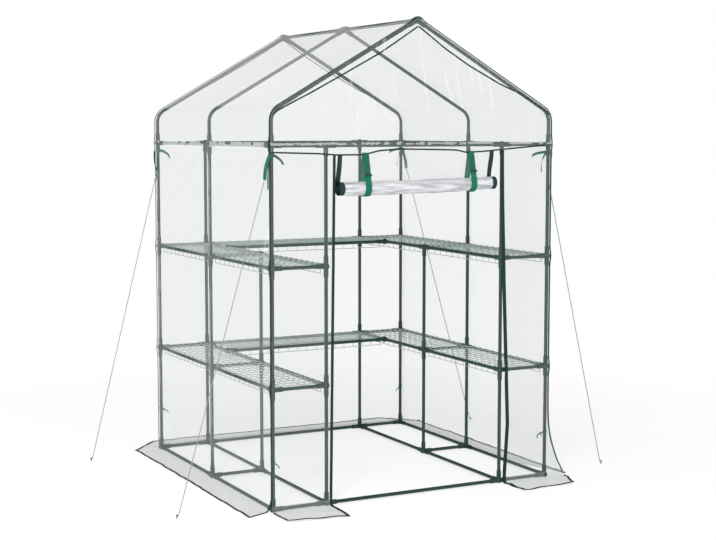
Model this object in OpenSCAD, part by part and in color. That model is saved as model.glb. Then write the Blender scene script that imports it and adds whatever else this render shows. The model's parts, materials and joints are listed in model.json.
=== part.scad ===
// Walk-in greenhouse: a frame of pushed-together steel tubes with wire shelves on
// three sides, under a clear film cover with a roll-up door. Millimetres, +Z up,
// the origin on the ground at the middle of the plan, the door facing -Y.

/* [Frame] */
// Width between the centres of the outer posts
frame_w = 1410; // [1200:10:1800]
// Depth between the centres of the front and back posts
frame_d = 1410; // [1200:10:1800]
// Outside diameter of the steel tubes
tube_d = 16; // [12:1:20]
// Height of one tier, from rail centre to rail centre
tier_h = 522; // [400:1:650]
// Depth of the side shelves, from outer to inner post centres
side_shelf_d = 256; // [200:1:320]
// Depth of the back shelf, from the back posts to its front rail
back_shelf_d = 288; // [230:1:330]

/* [Roof] */
// Height of the arch's bend above the eave rail
knee_h = 144; // [110:1:200]
// Height of the ridge above the bends
ridge_h = 403; // [250:1:550]
// Radius of the arch's bend, at the tube's centre
bend_r = 70; // [40:1:90]
// How much thinner the tube is round its bend
bend_thin = 0.2; // [0.1:0.1:0.6]

/* [Connectors] */
// Wall of a connector's socket round the tube
socket_wall = 2.4; // [1.6:0.1:4]
// Length of a socket arm from the connector's centre
socket_l = 46; // [36:1:60]
// Distance of a tube's end from the connector's centre
tube_stop = 14; // [13:0.5:18]
// Radial play of a tube in its socket
socket_play = 0.15; // [0.05:0.05:0.3]

/* [Shelves] */
// Thickness of a shelf wire
wire_d = 3; // [2:0.5:4]
// Spacing of the short wires
cross_pitch = 54; // [30:1:80]
// Spacing of the long wires
long_pitch = 32; // [20:1:60]
// Depth of the stiffening lip along a shelf's long sides
lip_h = 40; // [25:1:60]

/* [Cover] */
// Thickness of the film
film_t = 1; // [0.5:0.1:2]
// Width of the ground flaps at the sides
side_skirt_w = 125; // [80:1:250]
// Width of the ground flaps at the front and back
end_skirt_w = 180; // [80:1:250]
// How far a ground flap's outer corners stand past its wall
skirt_flare = 40; // [0:1:80]

/* [Door] */
// How much narrower the doorway is than the space between the inner posts' centres
door_trim = 30; // [20:1:200]
// Offset of the doorway to the right of the middle
door_shift = 29; // [0:1:40]
// Distance of the rolled-up sheet from the doorway's left edge
roll_gap_left = 7; // [2:1:80]
// Distance of the rolled-up sheet from the doorway's right edge
roll_gap_right = 65; // [2:1:80]
// Diameter of the rolled-up door
roll_d = 64; // [40:1:100]
// Drop of the roll's centre below the eave rail
roll_drop = 180; // [120:1:300]
// Drop of the seam over the door below the eave rail
seam_drop = 25; // [20:1:40]
// Width of the zip tapes
tape_w = 20; // [12:1:40]
// Thickness of the zip tapes and straps
tape_t = 1.5; // [1:0.1:3]
// Width of the straps that hold the roll
strap_w = 30; // [15:1:40]
// Distance of each strap's middle from the roll's end
strap_in = 126; // [60:1:200]
// How far the straps' tops lap the film above the seam
strap_lap = 8; // [4:1:14]

/* [Guy ropes] */
// Diameter of the ropes
rope_d = 4; // [3:0.5:8]
// Drop of the tops of the webbing tabs, which the ropes are tied to, below the eave rail
tab_drop = 32; // [20:1:120]
// Length of a webbing tab
tab_l = 115; // [40:1:160]
// Width of a webbing tab
tab_w = 16; // [10:1:30]
// Length of rope that lies against a tab's foot
rope_lap = 8; // [5:1:30]
// Distance of the tabs' centres from the front and back posts
tab_in = 30; // [20:1:80]
// Distance of the pegs from the outer posts, sideways
peg_out = 405; // [300:1:600]
// Distance of the pegs from the front and back posts, towards the middle
peg_in = 95; // [40:1:200]
// Height of a peg above the ground
peg_h = 15; // [10:1:80]
// Diameter of a peg
peg_d = 5; // [4:0.5:10]
// Diameter of a peg's head
peg_head_d = 11; // [8:0.5:25]
// Thickness of a peg's head
peg_head_t = 3; // [2:0.5:8]

/* [Hidden] */
$fn = 48;
tube_r = tube_d / 2;
socket_r = tube_r + socket_play + socket_wall;
// The ball of a connector just covers where its arms would cross
hub_cover = 0.4;
hub_r = socket_r * sqrt(2) + hub_cover;
// Gap between faces that lie against each other
seat = 0.3;
// The arms clear the ground, the hubs are cut flat on it
ground_lift = 0.6;

hw = frame_w / 2;
hd = frame_d / 2;
inner_x = hw - side_shelf_d;
back_rail_y = hd - back_shelf_d;
ground_z = socket_r + ground_lift;
lower_z = ground_z + tier_h;
upper_z = lower_z + tier_h;
eave_z = upper_z + tier_h;
knee_z = eave_z + knee_h;
ridge_z = knee_z + ridge_h;
levels = [ground_z, lower_z, upper_z, eave_z];
row_y = [-hd, 0, hd];
sides = [-1, 1];

// The arch turns from upright to the roof's slope
slope = atan2(ridge_h, hw);
bend_turn = 90 - slope;
bend_tangent = bend_r * tan(bend_turn / 2);
bend_z = knee_z - bend_tangent;
// Turn by which the bend runs on inside the straight stretches
bend_lap = 1;

// The cover stands clear of the connectors
cover_gap = hub_r + seat;
cover_x = hw + cover_gap;
cover_y = hd + cover_gap;
seam_z = eave_z - seam_drop;
roll_z = eave_z - roll_drop;
roll_r = roll_d / 2;
strap_r = roll_r + seat;
// The roll hangs straight below the door's sheet
roll_y = -(cover_y + film_t / 2);
door_w = 2 * inner_x - door_trim;
door_left = door_shift - door_w / 2;
door_right = door_shift + door_w / 2;
roll_left = door_left + roll_gap_left;
roll_right = door_right - roll_gap_right;
arc_steps = 12;

tube_colour = "#2a5246";
socket_colour = "#1d3f36";
wire_colour = "#9db0a6";
film_colour = [0.9, 0.93, 0.93, 0.35];
tape_colour = "#1c2f2c";
strap_colour = "#0b8a66";
rope_colour = "#b9b9b9";

// Runs of tube between connector centres, as pairs of points
function post_runs(x, y, top) = [
    for (i = [0 : top - 1]) [[x, y, levels[i]], [x, y, levels[i + 1]]]
];
function outer_post_runs(s) = [for (y = row_y) each post_runs(s * hw, y, 3)];
function inner_post_runs(s) = [
    for (y = row_y) each post_runs(s * inner_x, y, y == 0 ? 2 : 3)
];
// Rails along the depth at one distance from the middle
function side_runs(x, z) = [
    for (i = [0, 1]) [[x, row_y[i], z], [x, row_y[i + 1], z]]
];
// Rails from the outer to the inner posts, and across the middle
function wing_runs(y, z) = [
    for (s = sides) [[s * hw, y, z], [s * inner_x, y, z]]
];
function middle_run(y, z) = [[[-inner_x, y, z], [inner_x, y, z]]];
function ring_runs(z) = [
    for (s = sides) each concat(side_runs(s * hw, z), side_runs(s * inner_x, z)),
    for (y = row_y) each wing_runs(y, z),
    each middle_run(hd, z)
];
function ground_runs() = concat(ring_runs(ground_z), middle_run(-hd, ground_z));
function shelf_runs(z) = concat(ring_runs(z), middle_run(back_rail_y, z));
function eave_runs() = [
    for (s = sides) each side_runs(s * hw, eave_z),
    for (y = [-hd, hd]) each concat(wing_runs(y, eave_z), middle_run(y, eave_z))
];
function ridge_runs() = side_runs(0, ridge_z);
// An arch's two straight stretches, which meet at the bend
function arch_runs(y) = [
    for (s = sides) each [
        [[s * hw, y, eave_z], [s * hw, y, knee_z]],
        [[0, y, ridge_z], [s * hw, y, knee_z]]
    ]
];
all_runs = concat(
    [for (s = sides) each concat(outer_post_runs(s), inner_post_runs(s))],
    ground_runs(), shelf_runs(lower_z), shelf_runs(upper_z), eave_runs(),
    ridge_runs(), [for (y = row_y) each arch_runs(y)]
);

// Directions of the tubes that meet at a point
function unit(v) = v / norm(v);
function same(a, b) = norm(a - b) < 0.01;
function arms_at(p) = [
    for (r = all_runs)
        if (same(r[0], p)) unit(r[1] - p)
        else if (same(r[1], p)) unit(r[0] - p)
];
function grid_points(z, inner_rows) = [
    for (s = sides) each concat(
        [for (y = row_y) [s * hw, y, z]],
        [for (y = inner_rows) [s * inner_x, y, z]]
    )
];
function tee_points(z) = [for (s = sides) [s * inner_x, back_rail_y, z]];

// Outline of the arch at a distance outside its centre line, from the eave on the
// right up to the ridge
function half_arch(gap) = concat(
    [[hw + gap, eave_z]],
    [for (i = [0 : arc_steps])
        let (a = bend_turn * i / arc_steps, r = bend_r + gap)
        [hw - bend_r + r * cos(a), bend_z + r * sin(a)]],
    [[0, ridge_z + gap / cos(slope)]]
);
function reversed(points) = [for (i = [len(points) - 1 : -1 : 0]) points[i]];
function mirrored(points) = [for (p = reversed(points)) [-p.x, p.y]];
function gable(foot) = concat(
    [[cover_x + film_t, foot]], half_arch(cover_gap + film_t),
    mirrored(half_arch(cover_gap + film_t)), [[-cover_x - film_t, foot]]
);

// Turns the Z axis to a direction
module aim(v) {
    rotate([0, acos(v.z / norm(v)), atan2(v.y, v.x)]) children();
}

// Tube between two connector centres, ending in their sockets
module tube(run) {
    v = unit(run[1] - run[0]);
    translate(run[0] + v * tube_stop)
        aim(v)
            cylinder(d = tube_d, h = norm(run[1] - run[0]) - 2 * tube_stop);
}
module tubes(runs) {
    color(tube_colour) for (r = runs) tube(r);
}

// Socket arms in the given directions, and the bores that take their tubes
module arms_of(arms) {
    for (v = arms)
        aim(v)
            translate([0, 0, socket_r])
                cylinder(r = socket_r, h = socket_l - socket_r);
}
module bores_of(arms) {
    for (v = arms)
        aim(v)
            translate([0, 0, tube_stop - seat])
                cylinder(r = tube_r + socket_play, h = socket_l);
}
// Ball of a connector, turned so that the sphere's own seam lies between the arms
module hub() {
    rotate([0, 0, 45]) sphere(r = hub_r);
}
// Moulded connector: a ball with one socket arm for each tube
module connector(p) {
    translate(p) difference() {
        union() {
            hub();
            arms_of(arms_at(p));
        }
        bores_of(arms_at(p));
    }
}
// Connector at the ridge: a barrel along the ridge that takes the arches' sloping tubes
module ridge_connector(p) {
    translate(p) difference() {
        union() {
            rotate([90, 0, 0]) cylinder(r = hub_r, h = 2 * (socket_r + socket_wall), center = true);
            arms_of(arms_at(p));
        }
        bores_of(arms_at(p));
    }
}
// Connector on the ground, cut flat to stand on
module foot_connector(p) {
    difference() {
        connector(p);
        translate([p.x - hub_r, p.y - hub_r, -hub_r]) cube([2 * hub_r, 2 * hub_r, hub_r]);
    }
}
// Tee that slides on an inner rail and takes the back shelf's front rail
module tee(p) {
    translate(p) difference() {
        union() {
            hub();
            arms_of(arms_at(p));
            rotate([90, 0, 0]) cylinder(r = socket_r, h = socket_l, center = true);
        }
        bores_of(arms_at(p));
        rotate([90, 0, 0]) cylinder(r = tube_r + socket_play, h = 2 * socket_l, center = true);
    }
}

// Bent half of an arch, from its eave socket round the bend to its ridge socket
module half_arch_tube() {
    slope_l = norm([hw, ridge_h]) - bend_tangent - tube_stop;
    translate([hw, 0, eave_z + tube_stop]) cylinder(d = tube_d, h = bend_z - eave_z - tube_stop);
    translate([hw - bend_r, 0, bend_z]) {
        rotate([90, 0, 0]) rotate([0, 0, -bend_lap])
            rotate_extrude(angle = bend_turn + 2 * bend_lap)
                translate([bend_r, 0]) circle(d = tube_d - bend_thin);
        rotate([0, -bend_turn, 0]) translate([bend_r, 0, 0]) cylinder(d = tube_d, h = slope_l);
    }
}
module arch(y) {
    color(tube_colour) translate([0, y, 0]) {
        for (turn = [0, 180]) rotate([0, 0, turn]) half_arch_tube();
    }
}

// Wires of a shelf, its length along Y, Z = 0 at the rails' centres. The short wires lie
// on the rails and the long wires are welded under them.
weld = 0.3;
cross_z = tube_r + seat / 2 + wire_d / 2;
long_z = cross_z - wire_d * (1 - weld);
lip_z = cross_z - lip_h;
function shelf_edge_x(rail_gap) = rail_gap / 2 - hub_r - wire_d;
function shelf_end_y(bay) = bay / 2 - hub_r - wire_d;
function cross_count(bay) = round(2 * shelf_end_y(bay) / cross_pitch);
function cross_y(bay, i) = shelf_end_y(bay) * (2 * i / cross_count(bay) - 1);
module long_wire(x, bay, z) {
    translate([x, 0, z]) cube([wire_d, 2 * shelf_end_y(bay) + 2 * wire_d, wire_d], center = true);
}
// Welded wire shelf between two rails. Its short wires rest on the rails, except beside
// the connectors at the given places.
module wire_shelf(rail_gap, bay, stops_left, stops_right) {
    edge_x = shelf_edge_x(rail_gap);
    over_rail = rail_gap / 2 + tube_r / 2;
    long_n = round(2 * edge_x / long_pitch);
    clear = socket_l + 2 * wire_d;
    function reach(y, stops) = len([for (s = stops) if (abs(y - s) < clear) s]) > 0 ? edge_x : over_rail;
    color(wire_colour) union() {
        for (i = [0 : cross_count(bay)]) {
            y = cross_y(bay, i);
            left = reach(y, stops_left);
            right = reach(y, stops_right);
            translate([-left, y - wire_d / 2, cross_z - wire_d / 2]) cube([left + right, wire_d, wire_d]);
        }
        for (i = [0 : long_n]) long_wire(edge_x * (2 * i / long_n - 1), bay, long_z);
    }
}
// Stiffening lips that hang from a shelf's long sides: a long wire on short uprights
module shelf_lips(rail_gap, bay) {
    top = long_z - wire_d / 2;
    upright = wire_d * (1 - weld);
    color(wire_colour) for (s = sides) union() {
        long_wire(s * shelf_edge_x(rail_gap), bay, lip_z);
        for (i = [0 : cross_count(bay)])
            translate([s * shelf_edge_x(rail_gap), cross_y(bay, i), (top + lip_z) / 2])
                cube([upright, upright, top - lip_z], center = true);
    }
}
// Side shelves: s is the side of the plan, row the bay, 0 in front and 1 behind
function bay_y(row) = (row_y[row] + row_y[row + 1]) / 2;
module side_place(s, row, z) {
    translate([s * (hw + inner_x) / 2, bay_y(row), z]) children();
}
module side_shelves(s, z) {
    ends = [-hd / 2, hd / 2];
    for (row = [0, 1]) {
        inner = row == 1 ? concat(ends, [back_rail_y - bay_y(row)]) : ends;
        side_place(s, row, z)
            wire_shelf(side_shelf_d, hd, s < 0 ? ends : inner, s < 0 ? inner : ends);
    }
}
module back_place(z) {
    translate([0, hd - back_shelf_d / 2, z]) rotate([0, 0, 90]) children();
}
module back_shelf(z) {
    ends = [-inner_x, inner_x];
    back_place(z) wire_shelf(back_shelf_d, 2 * inner_x, ends, ends);
}
module level_lips(z) {
    for (s = sides) for (row = [0, 1]) side_place(s, row, z) shelf_lips(side_shelf_d, hd);
    back_place(z) shelf_lips(back_shelf_d, 2 * inner_x);
}

// Upright film panel with an outline in X and Z, its inner face at the front or back
module end_film(s, outline) {
    y = s > 0 ? cover_y + film_t : -cover_y;
    color(film_colour) translate([0, y, 0]) rotate([90, 0, 0]) linear_extrude(film_t) polygon(outline);
}
module side_film(s) {
    color(film_colour)
        translate([s > 0 ? cover_x : -cover_x - film_t, -cover_y, 0])
            cube([film_t, 2 * cover_y, eave_z]);
}
module roof_film(s) {
    band = concat(half_arch(cover_gap + film_t), reversed(half_arch(cover_gap)));
    color(film_colour)
        mirror([s < 0 ? 1 : 0, 0, 0])
            translate([0, cover_y, 0]) rotate([90, 0, 0]) linear_extrude(2 * cover_y) polygon(band);
}
function panel(x0, x1, z0, z1) = [[x0, z0], [x1, z0], [x1, z1], [x0, z1]];

// Ground flap from a wall's foot outwards, wider at its outer edge
module skirt(angle, wall, x0, x1, reach, flare0, flare1) {
    color(film_colour)
        rotate([0, 0, angle]) translate([0, -wall - reach, 0]) linear_extrude(film_t)
            polygon([[x0 - flare0, 0], [x1 + flare1, 0], [x1, reach], [x0, reach]]);
}
module side_skirt(s) {
    skirt(s * 90, cover_x + film_t, -cover_y, cover_y, side_skirt_w, skirt_flare, skirt_flare);
}

// Loop of a strap round the roll in Y and Z: both runs come down beside the door's sheet,
// touch the roll at its sides and meet below it
function strap_loop(r, gap) = let (
        h = seam_z + strap_lap - roll_z,
        first = atan2(h, gap) - acos(r / norm([gap, h])),
        turn = 180 + 2 * first,
        steps = 2 * arc_steps
    ) concat(
        [[gap, h]],
        [for (i = [0 : steps]) let (a = first - turn * i / steps) [r * cos(a), r * sin(a)]],
        [[-gap, h]]
    );
module strap(x) {
    gap = film_t / 2 + seat;
    band = concat(strap_loop(strap_r + tape_t, gap + tape_t), reversed(strap_loop(strap_r, gap)));
    translate([x - strap_w / 2, roll_y, roll_z])
        rotate([90, 0, 90]) linear_extrude(strap_w) polygon(band);
}

// Places of a rope's ends at one corner: at its tab and at its peg
tab_foot_z = eave_z - tab_drop - tab_l;
function rope_top(sx, sy) = [
    sx * (cover_x + film_t + tape_t + seat + rope_d / 2),
    sy * (hd - tab_in), tab_foot_z + rope_lap
];
function peg_foot(sx, sy) = [sx * (hw + peg_out), sy * (hd - peg_in), 0];
function rope_foot(sx, sy) = peg_foot(sx, sy)
    + [-sx * (peg_head_d / 2 + rope_d / 2 + seat), 0, peg_h - peg_head_t];

module left_outer_posts() { tubes(outer_post_runs(-1)); }
module left_inner_posts() { tubes(inner_post_runs(-1)); }
module right_inner_posts() { tubes(inner_post_runs(1)); }
module right_outer_posts() { tubes(outer_post_runs(1)); }
module ground_rails() { tubes(ground_runs()); }
module lower_shelf_rails() { tubes(shelf_runs(lower_z)); }
module upper_shelf_rails() { tubes(shelf_runs(upper_z)); }
module eave_rails() { tubes(eave_runs()); }
module front_arch() { arch(-hd); }
module middle_arch() { arch(0); }
module back_arch() { arch(hd); }
module ridge_rail() { tubes(ridge_runs()); }

module ground_connectors() {
    color(socket_colour) for (p = grid_points(ground_z, row_y)) foot_connector(p);
}
module shelf_connectors() {
    color(socket_colour) for (z = [lower_z, upper_z]) {
        for (p = grid_points(z, row_y)) connector(p);
        for (p = tee_points(z)) tee(p);
    }
}
module eave_connectors() {
    color(socket_colour) for (p = grid_points(eave_z, [-hd, hd])) connector(p);
}
module ridge_connectors() {
    color(socket_colour) for (y = row_y) ridge_connector([0, y, ridge_z]);
}

module lower_left_shelves() { side_shelves(-1, lower_z); }
module lower_right_shelves() { side_shelves(1, lower_z); }
module lower_back_shelf() { back_shelf(lower_z); }
module lower_shelf_lips() { level_lips(lower_z); }
module upper_left_shelves() { side_shelves(-1, upper_z); }
module upper_right_shelves() { side_shelves(1, upper_z); }
module upper_back_shelf() { back_shelf(upper_z); }
module upper_shelf_lips() { level_lips(upper_z); }

module left_wall_film() { side_film(-1); }
module right_wall_film() { side_film(1); }
module back_wall_film() { end_film(1, gable(0)); }
module left_roof_film() { roof_film(-1); }
module right_roof_film() { roof_film(1); }
module front_gable_film() { end_film(-1, gable(seam_z)); }
module front_left_film() { end_film(-1, panel(-cover_x - film_t, door_left, 0, seam_z)); }
module front_right_film() { end_film(-1, panel(door_right, cover_x + film_t, 0, seam_z)); }

module door_sheet() { end_film(-1, panel(roll_left, roll_right, roll_z + strap_r, seam_z)); }
module door_roll() {
    color(film_colour)
        translate([roll_left, roll_y, roll_z])
            rotate([0, 90, 0]) cylinder(r = roll_r, h = roll_right - roll_left);
}
module door_straps() {
    color(strap_colour) for (x = [roll_left + strap_in, roll_right - strap_in]) strap(x);
}
module zip_tapes() {
    color(tape_colour) for (x = [door_left - tape_w, door_right])
        translate([x, -cover_y - film_t - tape_t, film_t]) cube([tape_w, tape_t, seam_z - film_t]);
}

module left_skirt() { side_skirt(-1); }
module right_skirt() { side_skirt(1); }
module back_skirt() { skirt(180, cover_y + film_t, -cover_x, cover_x, end_skirt_w, 0, 0); }
module front_left_skirt() { skirt(0, cover_y + film_t, -cover_x, door_left, end_skirt_w, 0, -skirt_flare); }
module front_right_skirt() { skirt(0, cover_y + film_t, door_right, cover_x, end_skirt_w, 0, skirt_flare); }

module guy_ropes() {
    color(rope_colour) for (sx = sides) for (sy = sides) {
        v = rope_foot(sx, sy) - rope_top(sx, sy);
        translate(rope_top(sx, sy)) aim(v) cylinder(d = rope_d, h = norm(v));
    }
}
module rope_tabs() {
    color(strap_colour) for (sx = sides) for (sy = sides)
        translate([sx * (cover_x + film_t + tape_t / 2), sy * (hd - tab_in), tab_foot_z + tab_l / 2])
            cube([tape_t, tab_w, tab_l], center = true);
}
module ground_pegs() {
    color(tube_colour) for (sx = sides) for (sy = sides) translate(peg_foot(sx, sy)) {
        cylinder(d = peg_d, h = peg_h);
        translate([0, 0, peg_h - peg_head_t]) cylinder(d = peg_head_d, h = peg_head_t);
    }
}

left_outer_posts();
left_inner_posts();
right_inner_posts();
right_outer_posts();
ground_rails();
lower_shelf_rails();
upper_shelf_rails();
eave_rails();
front_arch();
middle_arch();
back_arch();
ridge_rail();
ground_connectors();
shelf_connectors();
eave_connectors();
ridge_connectors();
lower_left_shelves();
lower_right_shelves();
lower_back_shelf();
lower_shelf_lips();
upper_left_shelves();
upper_right_shelves();
upper_back_shelf();
upper_shelf_lips();
left_wall_film();
right_wall_film();
back_wall_film();
left_roof_film();
right_roof_film();
front_gable_film();
front_left_film();
front_right_film();
door_sheet();
door_roll();
door_straps();
zip_tapes();
left_skirt();
right_skirt();
back_skirt();
front_left_skirt();
front_right_skirt();
guy_ropes();
rope_tabs();
ground_pegs();
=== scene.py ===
import json
import math
import bpy
import numpy as np
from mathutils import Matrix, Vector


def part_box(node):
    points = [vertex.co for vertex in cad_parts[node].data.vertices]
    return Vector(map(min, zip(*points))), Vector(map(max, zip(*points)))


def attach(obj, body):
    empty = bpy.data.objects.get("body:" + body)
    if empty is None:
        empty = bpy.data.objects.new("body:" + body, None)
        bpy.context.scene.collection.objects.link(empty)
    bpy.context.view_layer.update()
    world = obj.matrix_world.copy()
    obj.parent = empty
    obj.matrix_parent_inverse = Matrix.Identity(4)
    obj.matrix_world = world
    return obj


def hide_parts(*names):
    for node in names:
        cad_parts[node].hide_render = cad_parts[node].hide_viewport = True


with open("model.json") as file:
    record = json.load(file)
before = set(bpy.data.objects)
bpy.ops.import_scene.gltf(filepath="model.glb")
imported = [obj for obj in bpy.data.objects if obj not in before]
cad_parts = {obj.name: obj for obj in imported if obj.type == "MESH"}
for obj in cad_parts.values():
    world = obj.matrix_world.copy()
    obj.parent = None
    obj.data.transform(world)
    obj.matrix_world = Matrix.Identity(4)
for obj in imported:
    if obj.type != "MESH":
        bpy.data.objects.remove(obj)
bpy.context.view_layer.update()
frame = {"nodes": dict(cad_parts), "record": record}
nodes = frame["nodes"]
scene = bpy.context.scene
print("frame loaded:", len(nodes), "nodes")


def span(node):
    low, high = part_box(node)
    return np.array(low), np.array(high)


# Sizes read from the frame, in metres
archLow, archHigh = span("front_arch")
tubeRadius = (archHigh[1] - archLow[1]) / 2
postX = archHigh[0] - tubeRadius
postY = -(archLow[1] + archHigh[1]) / 2
postRows = (-postY, 0.0, postY)
innerX = np.mean([end[0] for end in span("right_inner_posts")])
# The film is drawn in to the tubes between the connectors, over which it bulges
hug = 0.0048
filmX = span("right_wall_film")[1][0] - hug
filmY = -span("front_gable_film")[0][1] - hug
eaveZ = span("left_wall_film")[1][2]
seamZ = span("front_left_film")[1][2]
ridgeZ = span("ridge_rail")[1][2] - tubeRadius
doorLeft = span("front_left_film")[1][0]
doorRight = span("front_right_film")[0][0]
rollLow, rollHigh = span("door_roll")
rollY, rollZ = (rollLow[1:] + rollHigh[1:]) / 2
rollRadius = (rollHigh[2] - rollLow[2]) / 2
railNames = ("ground_rails", "lower_shelf_rails", "upper_shelf_rails", "eave_rails")
hubLevels = [span(name)[0][2] + tubeRadius for name in railNames]
# The arches' bend, as the solids have it
archBend = dict(kneeHeight=0.144, radius=0.070)
kneeZ = eaveZ + archBend["kneeHeight"]
slope = math.atan2(ridgeZ - kneeZ, postX)
bendTurn = math.pi / 2 - slope
bendZ = kneeZ - archBend["radius"] * math.tan(bendTurn / 2)


# Mesh helpers

def gridQuads(rows, cols, closed=False):
    i = np.arange(rows - 1)[:, None]
    j = np.arange(cols if closed else cols - 1)[None, :]
    a = i * cols + j
    b = i * cols + (j + 1) % cols
    return np.stack([a, b, b + cols, a + cols], -1).reshape(-1, 4)


def addPiece(name, points, faces, materials, faceSlots=None, sharp=None):
    mesh = bpy.data.meshes.new(name)
    mesh.from_pydata(points.reshape(-1, 3).tolist(), [], faces)
    for material in materials:
        mesh.materials.append(material)
    mesh.polygons.foreach_set("use_smooth", np.ones(len(mesh.polygons), bool))
    if faceSlots is not None:
        mesh.polygons.foreach_set("material_index", faceSlots.astype(np.int32))
    if sharp:
        mesh.set_sharp_from_angle(angle=math.radians(sharp))
    mesh.update()
    piece = bpy.data.objects.new(name, mesh)
    scene.collection.objects.link(piece)
    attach(piece, "root")
    return piece


# An open surface from a grid of points; faceSlots picks each face's material
def sheetPiece(name, grid, materials, flip=False, faceSlots=None):
    quads = gridQuads(*grid.shape[:2])
    if flip:
        quads = quads[:, ::-1]
    return addPiece(name, grid, quads.tolist(), materials, faceSlots)


# Closed tubes from rings of points: rings has the shape tubes, rings, sides, 3
def sweepPiece(name, rings, materials, sharp, ringSlots=None):
    count, length, sides = rings.shape[:3]
    starts = (np.arange(count) * length * sides)[:, None]
    sideFaces = (gridQuads(length, sides, True)[None] + starts[:, :, None]).reshape(-1, 4)
    first = starts + np.arange(sides)[::-1]
    last = starts + (length - 1) * sides + np.arange(sides)
    faces = sideFaces.tolist() + first.tolist() + last.tolist()
    faceSlots = None
    if ringSlots is not None:
        sideSlots = np.tile(np.repeat(ringSlots[:-1], sides), count)
        faceSlots = np.concatenate([sideSlots, np.zeros(2 * count, int)])
    return addPiece(name, rings, faces, materials, faceSlots, sharp)


def unit(v):
    return v / np.linalg.norm(v, axis=-1, keepdims=True)


def tangents(path):
    return unit(np.gradient(path, axis=-2))


# Round rings about paths: each ring point is the path's point plus radius times
# cosine and sine of its angle along two directions square to the path
def roundRings(paths, radius, sides, reference):
    t = tangents(paths)
    ref = np.broadcast_to(np.asarray(reference, float), paths.shape)
    e1 = unit(ref - np.sum(ref * t, -1, keepdims=True) * t)
    e2 = np.cross(t, e1)
    angle = np.linspace(0, 2 * np.pi, sides, endpoint=False)
    ring = np.cos(angle)[:, None] * e1[..., None, :] + np.sin(angle)[:, None] * e2[..., None, :]
    return paths[..., None, :] + radius * ring


# Flat band rings about paths: an oblong section with its corners cut, wide along the given direction
bandSharp = 50
bandAcross = np.array([-0.5, -0.35, 0.35, 0.5, 0.5, 0.35, -0.35, -0.5])
bandThrough = np.array([-0.3, -0.5, -0.5, -0.3, 0.3, 0.5, 0.5, 0.3])


def bandRings(paths, wide, width, thick):
    t = tangents(paths)
    w = np.broadcast_to(np.asarray(wide, float), paths.shape)
    w = unit(w - np.sum(w * t, -1, keepdims=True) * t)
    n = np.cross(t, w)
    width = np.broadcast_to(np.asarray(width, float), paths.shape[:-1])[..., None, None]
    acrossBand = width * bandAcross[:, None] * w[..., None, :]
    return paths[..., None, :] + acrossBand + thick * bandThrough[:, None] * n[..., None, :]


def bandPiece(name, path, wide, width, thick, materials, ringSlots=None):
    rings = bandRings(path[None], wide, width, thick)
    return sweepPiece(name, rings, materials, bandSharp, ringSlots)


def lineLength(points):
    return np.linalg.norm(np.diff(points, axis=0), axis=1).sum()


# Distance from the line's start to each of its points
def distanceAlong(points):
    steps = np.linalg.norm(np.diff(points, axis=0), axis=1)
    return np.concatenate([[0], np.cumsum(steps)])


def resample(points, count):
    along = distanceAlong(points)
    at = np.linspace(0, along[-1], count)
    return np.stack([np.interp(at, along, points[:, k]) for k in range(points.shape[1])], -1)


def smooth(x, low, high):
    k = np.clip((x - low) / (high - low), 0, 1)
    return k * k * (3 - 2 * k)


# Bulges over the connectors: Gaussians of one reach about each place, cut off at the hug's depth
hubFilm = dict(reach=0.026, rise=1.5, ridgeShare=1.3)


def hubBulge(u, v, places):
    total = sum(np.exp(-((u - a) ** 2 + (v - b) ** 2) / hubFilm["reach"] ** 2) for a, b in places)
    return hug * np.clip(total * hubFilm["rise"], 0, 1)


# Seeded waves: the sum of sines with lengths between short and long, in random directions
def waves(u, v, seed, count, short, long, tilt=math.pi, lean=0.0):
    rng = np.random.default_rng(seed)
    number = 2 * np.pi / rng.uniform(short, long, count)
    heading = lean + rng.uniform(-tilt, tilt, count)
    phase = rng.uniform(0, 2 * np.pi, count)
    k = (count,) + (1,) * np.ndim(u)
    total = np.sin((number * np.cos(heading)).reshape(k) * u + (number * np.sin(heading)).reshape(k) * v
                   + phase.reshape(k))
    return total.sum(0) / math.sqrt(count)


# Creases: sharp folds, one minus twice the size of a wave that a wave 4 to 9 times as long bends
def creases(u, v, seed, short, long, tilt, lean):
    bend = 0.25 * long * waves(u, v, seed + 50, 4, 4 * long, 9 * long)
    fold = waves(u + bend, v + bend, seed, 5, short, long, tilt, lean)
    return 1 - 2 * np.minimum(np.abs(fold), 1)


# Materials

def linear(text):
    c = np.array([int(text[i:i + 2], 16) for i in (1, 3, 5)]) / 255
    c = np.where(c <= 0.04045, c / 12.92, ((c + 0.055) / 1.055) ** 2.4)
    return tuple(c) + (1.0,)


def setInputs(tree, node, values):
    for key, value in values.items():
        if isinstance(value, bpy.types.NodeSocket):
            tree.links.new(value, node.inputs[key])
        else:
            node.inputs[key].default_value = value


def addNode(tree, kind, values=None, props=None):
    node = tree.nodes.new("ShaderNode" + kind)
    for key, value in (props or {}).items():
        setattr(node, key, value)
    setInputs(tree, node, values or {})
    return node


def startMaterial(name):
    material = bpy.data.materials.new(name)
    material.use_nodes = True
    tree = material.node_tree
    shader = tree.nodes["Principled BSDF"]
    place = addNode(tree, "TexCoord").outputs["Object"]
    return material, tree, shader, place


# A pattern's scale for features of the given size in millimetres
def perSize(size):
    return 1000 / size


# Two colours mixed by a pattern and a relief of the given depth, joined to the shader with its other values
def finish(tree, shader, shade, dark, light, height, depth, strength, values):
    mix = addNode(tree, "Mix", {0: shade, 6: linear(dark), 7: linear(light)}, {"data_type": "RGBA"})
    relief = addNode(tree, "Bump", {"Height": height, "Distance": depth, "Strength": strength})
    setInputs(tree, shader, {"Base Color": mix.outputs[2], "Normal": relief.outputs[0], **values})


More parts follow.
